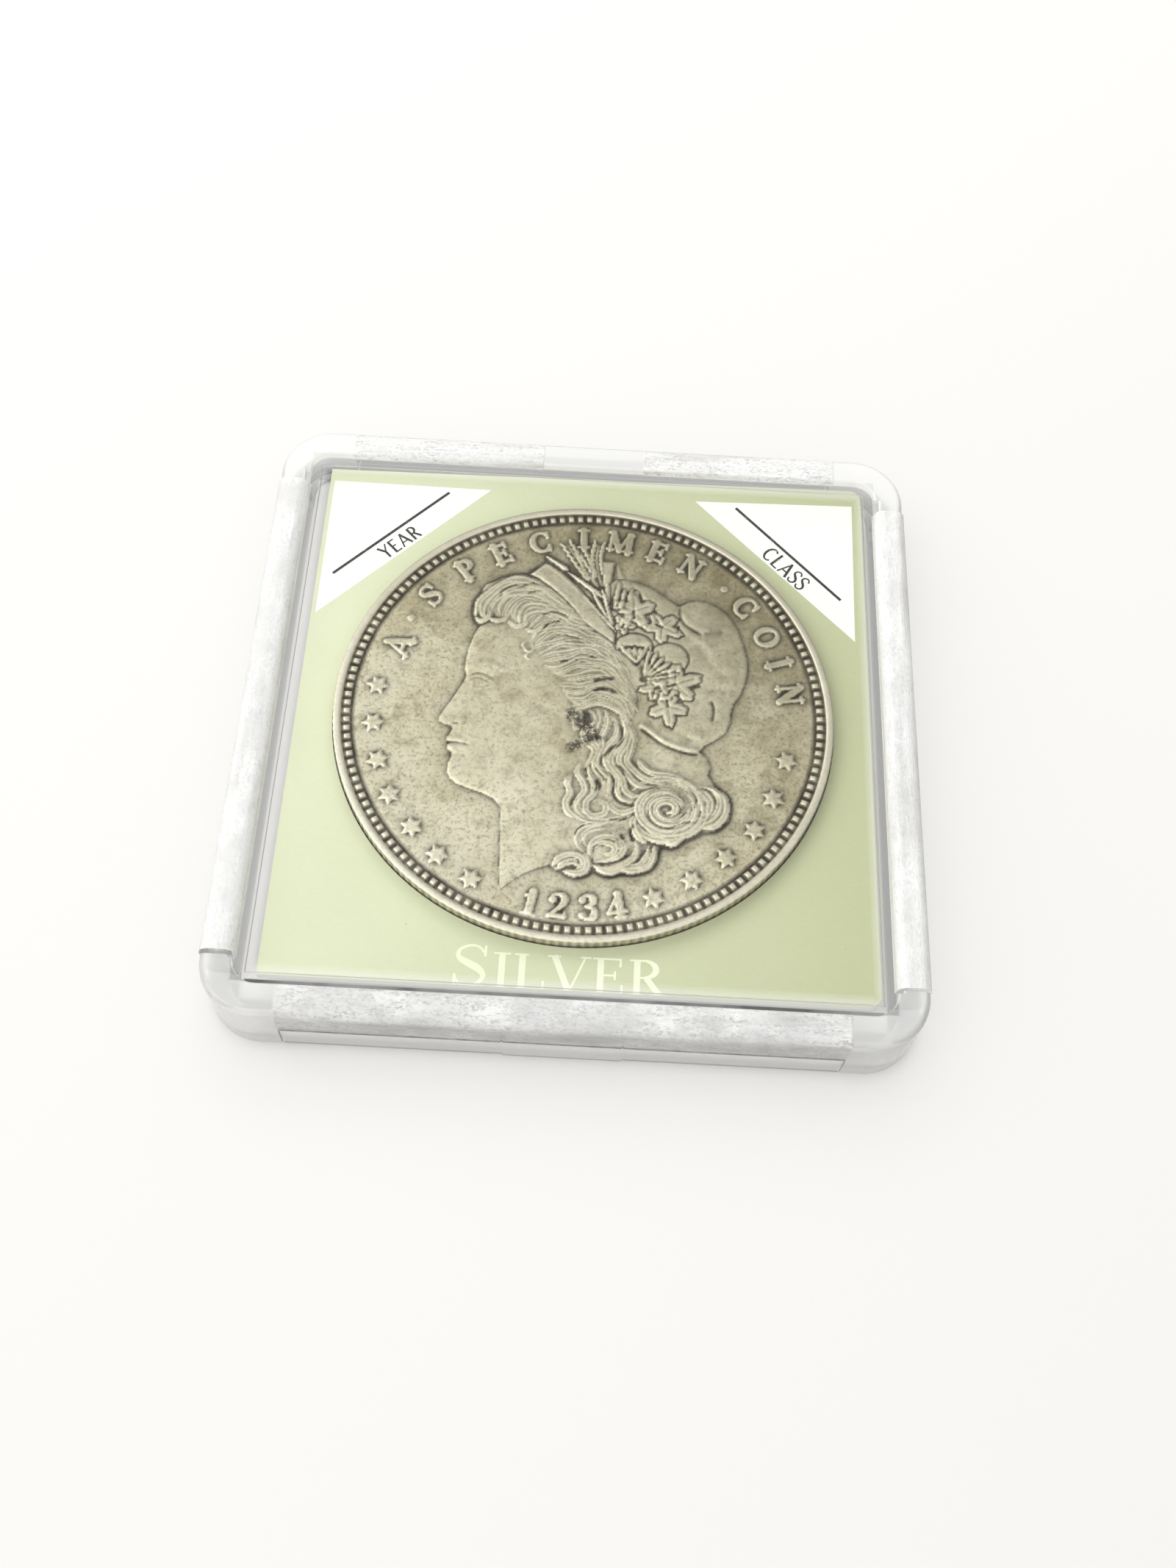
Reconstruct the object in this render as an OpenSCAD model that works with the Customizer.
// Snap-together square coin holder: two clear moulded shells, a printed card
// insert with a round opening, and one large reeded coin.
// The holder lies on its back shell. +Z points out of the front window,
// +Y is the top edge of the card, +X is its right-hand edge.

/* [Holder] */
// Outer side of the square holder
holder_w = 50.8; // [50.4:0.1:51.2]
// Overall thickness, over the raised side rails of both shells
holder_t = 6.5; // [6.4:0.05:6.7]
// Outer radius of the four corners
corner_r = 4.0; // [3.6:0.1:4.4]
// Thickness of the front window
front_window_t = 1.0; // [0.9:0.05:1.1]
// Thickness of the back window
back_window_t = 1.15; // [1.0:0.05:1.2]
// How far each window lies below the raised side rails
window_recess = 0.9; // [0.8:0.05:1.0]
// Thickness of the outer walls beside the card
wall_t = 1.5; // [1.3:0.1:1.5]
// Gap left between the two shells where they meet
shell_gap = 0.1; // [0.08:0.01:0.14]

/* [Rims] */
// How far the plain rims and corners lie below the raised side rails
rim_drop = 0.35; // [0.2:0.05:0.5]
// Width of the plain rims on the top and bottom edges
rim_w = 2.3; // [2.0:0.1:2.5]
// Width of the plain rims beside the corners, on the left and right edges
tail_w = 1.95; // [1.8:0.05:2.1]
// Outer shoulder radius of the plain rims
rim_shoulder_r = 0.5; // [0.3:0.05:0.6]
// Inner shoulder radius of the plain rims
rim_inner_r = 0.2; // [0.15:0.05:0.25]
// Half-length of the straight part of the plain rims that sits between the corner posts
corner_post_x = 19.65; // [19.4:0.05:19.9]
// Height of the parting line on the top and bottom edges
parting_z = 2.85; // [2.6:0.05:3.1]

/* [Side rails] */
// Width of each raised side rail
rail_w = 2.45; // [2.3:0.05:2.6]
// Shoulder radius on both sides of a raised side rail
rail_shoulder_r = 0.8; // [0.6:0.05:0.9]
// Lower end of the raised side rails, towards the bottom edge of the card
rail_y_min = -21.0; // [-21.2:0.1:-20.6]
// Upper end of the raised side rails, towards the top edge of the card
rail_y_max = 20.0; // [19.6:0.1:20.4]

/* [Finger tabs] */
// Width of the plain tab in the middle of the top and bottom edges
tab_w = 8.4; // [7.5:0.1:9.5]
// How far the tab stands proud of the lower strip
tab_proud = 0.1; // [0.05:0.01:0.15]

/* [Snap] */
// How far the snap ridge stands out of each side wall
snap_proud = 0.08; // [0.04:0.01:0.08]
// Height of the snap ridge and of the groove that it rests in
snap_h = 0.3; // [0.2:0.05:0.4]

/* [Card] */
// Thickness of the card insert
card_t = 1.2; // [1.0:0.05:1.3]
// Left edge of the card
card_left = -21.6; // [-21.8:0.1:-21.2]
// Right edge of the card
card_right = 22.25; // [21.8:0.05:22.4]
// Bottom edge of the card
card_bottom = -21.65; // [-21.9:0.05:-21.2]
// Top edge of the card at its left corner
card_top_left = 22.85; // [22.4:0.05:23.2]
// Top edge of the card at its right corner; the card is cut slightly out of square
card_top_right = 23.6; // [22.9:0.05:23.65]
// Radius of the two worn right-hand corners
card_corner_r = 0.9; // [0.7:0.1:1.4]
// Radius of the round opening for the coin
card_hole_r = 19.3; // [19.2:0.05:19.5]

/* [Coin] */
// Diameter of the coin
coin_d = 38.1; // [37.9:0.1:38.2]
// Thickness of the coin over its rims
coin_t = 2.4; // [2.3:0.05:2.45]
// Coin and card opening centre, across the holder
coin_x = 0.3; // [0.1:0.05:0.5]
// Coin and card opening centre, along the holder
coin_y = 0.7; // [0.5:0.05:0.8]
// Width of the coin's flat rim
coin_rim_w = 0.62; // [0.5:0.01:0.8]
// Width of the ring of small teeth inside the rim
coin_tooth_w = 0.9; // [0.8:0.05:1.0]
// Depth of the coin's field below its rim
coin_field_d = 0.32; // [0.25:0.01:0.4]

/* [Hidden] */
$fn = 96;
half = holder_w / 2;
rim_half = half - tab_proud;                    // outer face of the plain rims
c = rim_half - corner_r;                        // centre of the corner arcs
rim_z = holder_t - rim_drop;                    // crest of the plain rims on the front
rim_z0 = rim_drop;                              // end of the corner posts on the back
front_z1 = holder_t - window_recess;            // outer face of the front window
front_z0 = front_z1 - front_window_t;           // inner face of the front window
back_z0 = window_recess;                        // outer face of the back window
back_z1 = back_z0 + back_window_t;              // inner face of the back window
inner_d = corner_r - wall_t;                    // inner face of the outer walls, from c
rim_d = corner_r - rim_w;                       // inner edge of the plain rims, from c
rail_d = half - rail_w - c;                     // inner face of the side walls, from c
rail_out = half - c;                            // outer face of the side walls, from c
plate_d = rail_d - shell_gap - 0.02;            // edge of the front window, from c
snap_z = (front_z0 + front_z1) / 2;             // height of the snap ridge and groove

// Points of an arc about [x, y], from angle a0 to a1
function arc(x, y, r, a0, a1, n = 6) = [for (k = [0 : n]) [x + r * cos(a0 + (a1 - a0) * k / n), y + r * sin(a0 + (a1 - a0) * k / n)]];

// Sections run outward from the line of the corner centres (x = 0) and upward from the table.
// Front shell: window edge, outer wall down to z0, and plain rim whose inner edge is at d
function front_section(z0, d, out) = concat(
    [[0, front_z0], [inner_d, front_z0], [inner_d, z0], [out, z0]],
    arc(out - rim_shoulder_r, rim_z - rim_shoulder_r, rim_shoulder_r, 0, 90),
    arc(d + rim_inner_r, rim_z - rim_inner_r, rim_inner_r, 90, 180, 4),
    [[d, front_z1], [0, front_z1]]);

// Front shell: window edge between the side walls, with the snap groove
function window_section() = [[0, front_z0], [plate_d, front_z0], [plate_d, snap_z - snap_h / 2 - 0.05], [plate_d - 0.1, snap_z],
    [plate_d, snap_z + snap_h / 2 + 0.05], [plate_d, front_z1], [0, front_z1]];

// Back shell: floor and low strip under the parting line, with its rounded foot
function strip_section() = concat(
    [[0, back_z0], [rim_d, back_z0], [rim_d, 0], [corner_r - rim_shoulder_r, 0]],
    arc(corner_r - rim_shoulder_r, rim_shoulder_r, rim_shoulder_r, -90, 0),
    [[corner_r, parting_z], [inner_d, parting_z], [inner_d, back_z1], [0, back_z1]]);

// Back shell: floor inside the corner posts, with the inner part of the rim below it
function floor_section() = [[0, back_z0], [rim_d, back_z0], [rim_d, rim_z0], [inner_d - shell_gap, rim_z0],
    [inner_d - shell_gap, back_z1], [0, back_z1]];

// Back shell: floor and side wall with a rounded rail at each end, and the snap ridge
function wall_section() = concat(
    [[0, back_z0], [rail_d, back_z0]],
    arc(rail_d + rail_shoulder_r, rail_shoulder_r, rail_shoulder_r, 180, 270),
    arc(rail_out - rail_shoulder_r, rail_shoulder_r, rail_shoulder_r, -90, 0),
    arc(rail_out - rail_shoulder_r, holder_t - rail_shoulder_r, rail_shoulder_r, 0, 90),
    arc(rail_d + rail_shoulder_r, holder_t - rail_shoulder_r, rail_shoulder_r, 90, 180),
    [[rail_d, snap_z + snap_h / 2], [rail_d - snap_proud, snap_z], [rail_d, snap_z - snap_h / 2], [rail_d, back_z1], [0, back_z1]]);

// A section extruded along the top edge, from x0 to x1; rotate it for the other edges
module run(x0, x1, pts) {
    translate([x1, c, 0]) rotate([90, 0, -90]) mirror([1, 0, 0]) linear_extrude(x1 - x0) polygon(pts);
}

// A section turned through one corner
module turn(k, pts) {
    rotate([0, 0, 90 * k]) translate([c, c, 0]) rotate_extrude(angle = 90) polygon(pts);
}

module front_shell() {
    g = shell_gap;
    tall = front_section(rim_z0, rim_d, corner_r);
    color([0.90, 0.93, 0.92, 0.45])
    difference() {
        union() {
            translate([-c, -c, front_z0]) cube([2 * c, 2 * c, front_window_t]);
            for (k = [0 : 3]) turn(k, tall);
            for (s = [0, 180]) rotate([0, 0, s]) {
                run(-corner_post_x - g, corner_post_x + g, front_section(parting_z + g, rim_d, corner_r));
                run(corner_post_x + g, c, tall);
                run(-c, -corner_post_x - g, tall);
            }
            // left edge: up is towards smaller x of the turned run
            for (s = [0, 1]) mirror([s, 0, 0]) rotate([0, 0, -90]) {
                run(-c, -rail_y_max - g, front_section(rim_z0, corner_r - tail_w, corner_r));
                run(-rail_y_max - g, -rail_y_min + g, window_section());
                run(-rail_y_min + g, c, front_section(rim_z0, corner_r - tail_w, corner_r));
            }
        }
        // fine lines that mark the ends of the finger tabs
        for (s = [-1, 1], t = [-1, 1]) translate([t * tab_w / 2 - 0.06, s > 0 ? rim_half - 0.06 : -rim_half - 1, parting_z])
            cube([0.12, 1.06, rim_z - rim_shoulder_r - parting_z]);
    }
}

module back_shell() {
    color([0.88, 0.92, 0.91, 0.45])
    union() {
        translate([-c, -c, back_z0]) cube([2 * c, 2 * c, back_window_t]);
        for (k = [0 : 3]) turn(k, floor_section());
        for (s = [0, 180]) rotate([0, 0, s]) {
            run(-corner_post_x, corner_post_x, strip_section());
            run(corner_post_x, c, floor_section());
            run(-c, -corner_post_x, floor_section());
            // finger tab, slightly proud
            translate([-tab_w / 2, c + inner_d + 0.5, rim_shoulder_r]) cube([tab_w, half - c - inner_d - 0.5, parting_z - rim_shoulder_r]);
        }
        for (s = [0, 1]) mirror([s, 0, 0]) rotate([0, 0, -90]) {
            run(-c, -rail_y_max, floor_section());
            run(-rail_y_max, -rail_y_min, wall_section());
            run(-rail_y_min, c, floor_section());
        }
    }
}

module insert_card() {
    color([0.80, 0.84, 0.64])
    translate([0, 0, back_z1]) difference() {
        linear_extrude(card_t) difference() {
            polygon([[card_left, card_bottom], [card_right, card_bottom], [card_right, card_top_right], [card_left, card_top_left]]);
            translate([card_right - card_corner_r, card_top_right - card_corner_r])
                difference() { square([2, 2]); circle(r = card_corner_r); }
            translate([card_right - card_corner_r, card_bottom + card_corner_r]) rotate(-90)
                difference() { square([2, 2]); circle(r = card_corner_r); }
        }
        translate([coin_x, coin_y, -1]) cylinder(r = card_hole_r, h = card_t + 2);
    }
}

// Half-section of the coin: rim, ring of teeth, field, on both faces
module coin_section() {
    r = coin_d / 2;
    r1 = r - coin_rim_w;
    r2 = r1 - coin_tooth_w;
    t = coin_t;
    f = coin_field_d;
    polygon([[0, f], [r2, f], [r2 + 0.1, f * 0.45], [r1 - 0.1, f * 0.45], [r1, 0], [r - 0.08, 0], [r, 0.08],
             [r, t - 0.08], [r - 0.08, t], [r1, t], [r1 - 0.1, t - f * 0.45], [r2 + 0.1, t - f * 0.45], [r2, t - f], [0, t - f]]);
}

module coin() {
    color([0.72, 0.69, 0.58])
    translate([coin_x, coin_y, back_z1]) rotate_extrude() coin_section();
}

back_shell();
front_shell();
insert_card();
coin();
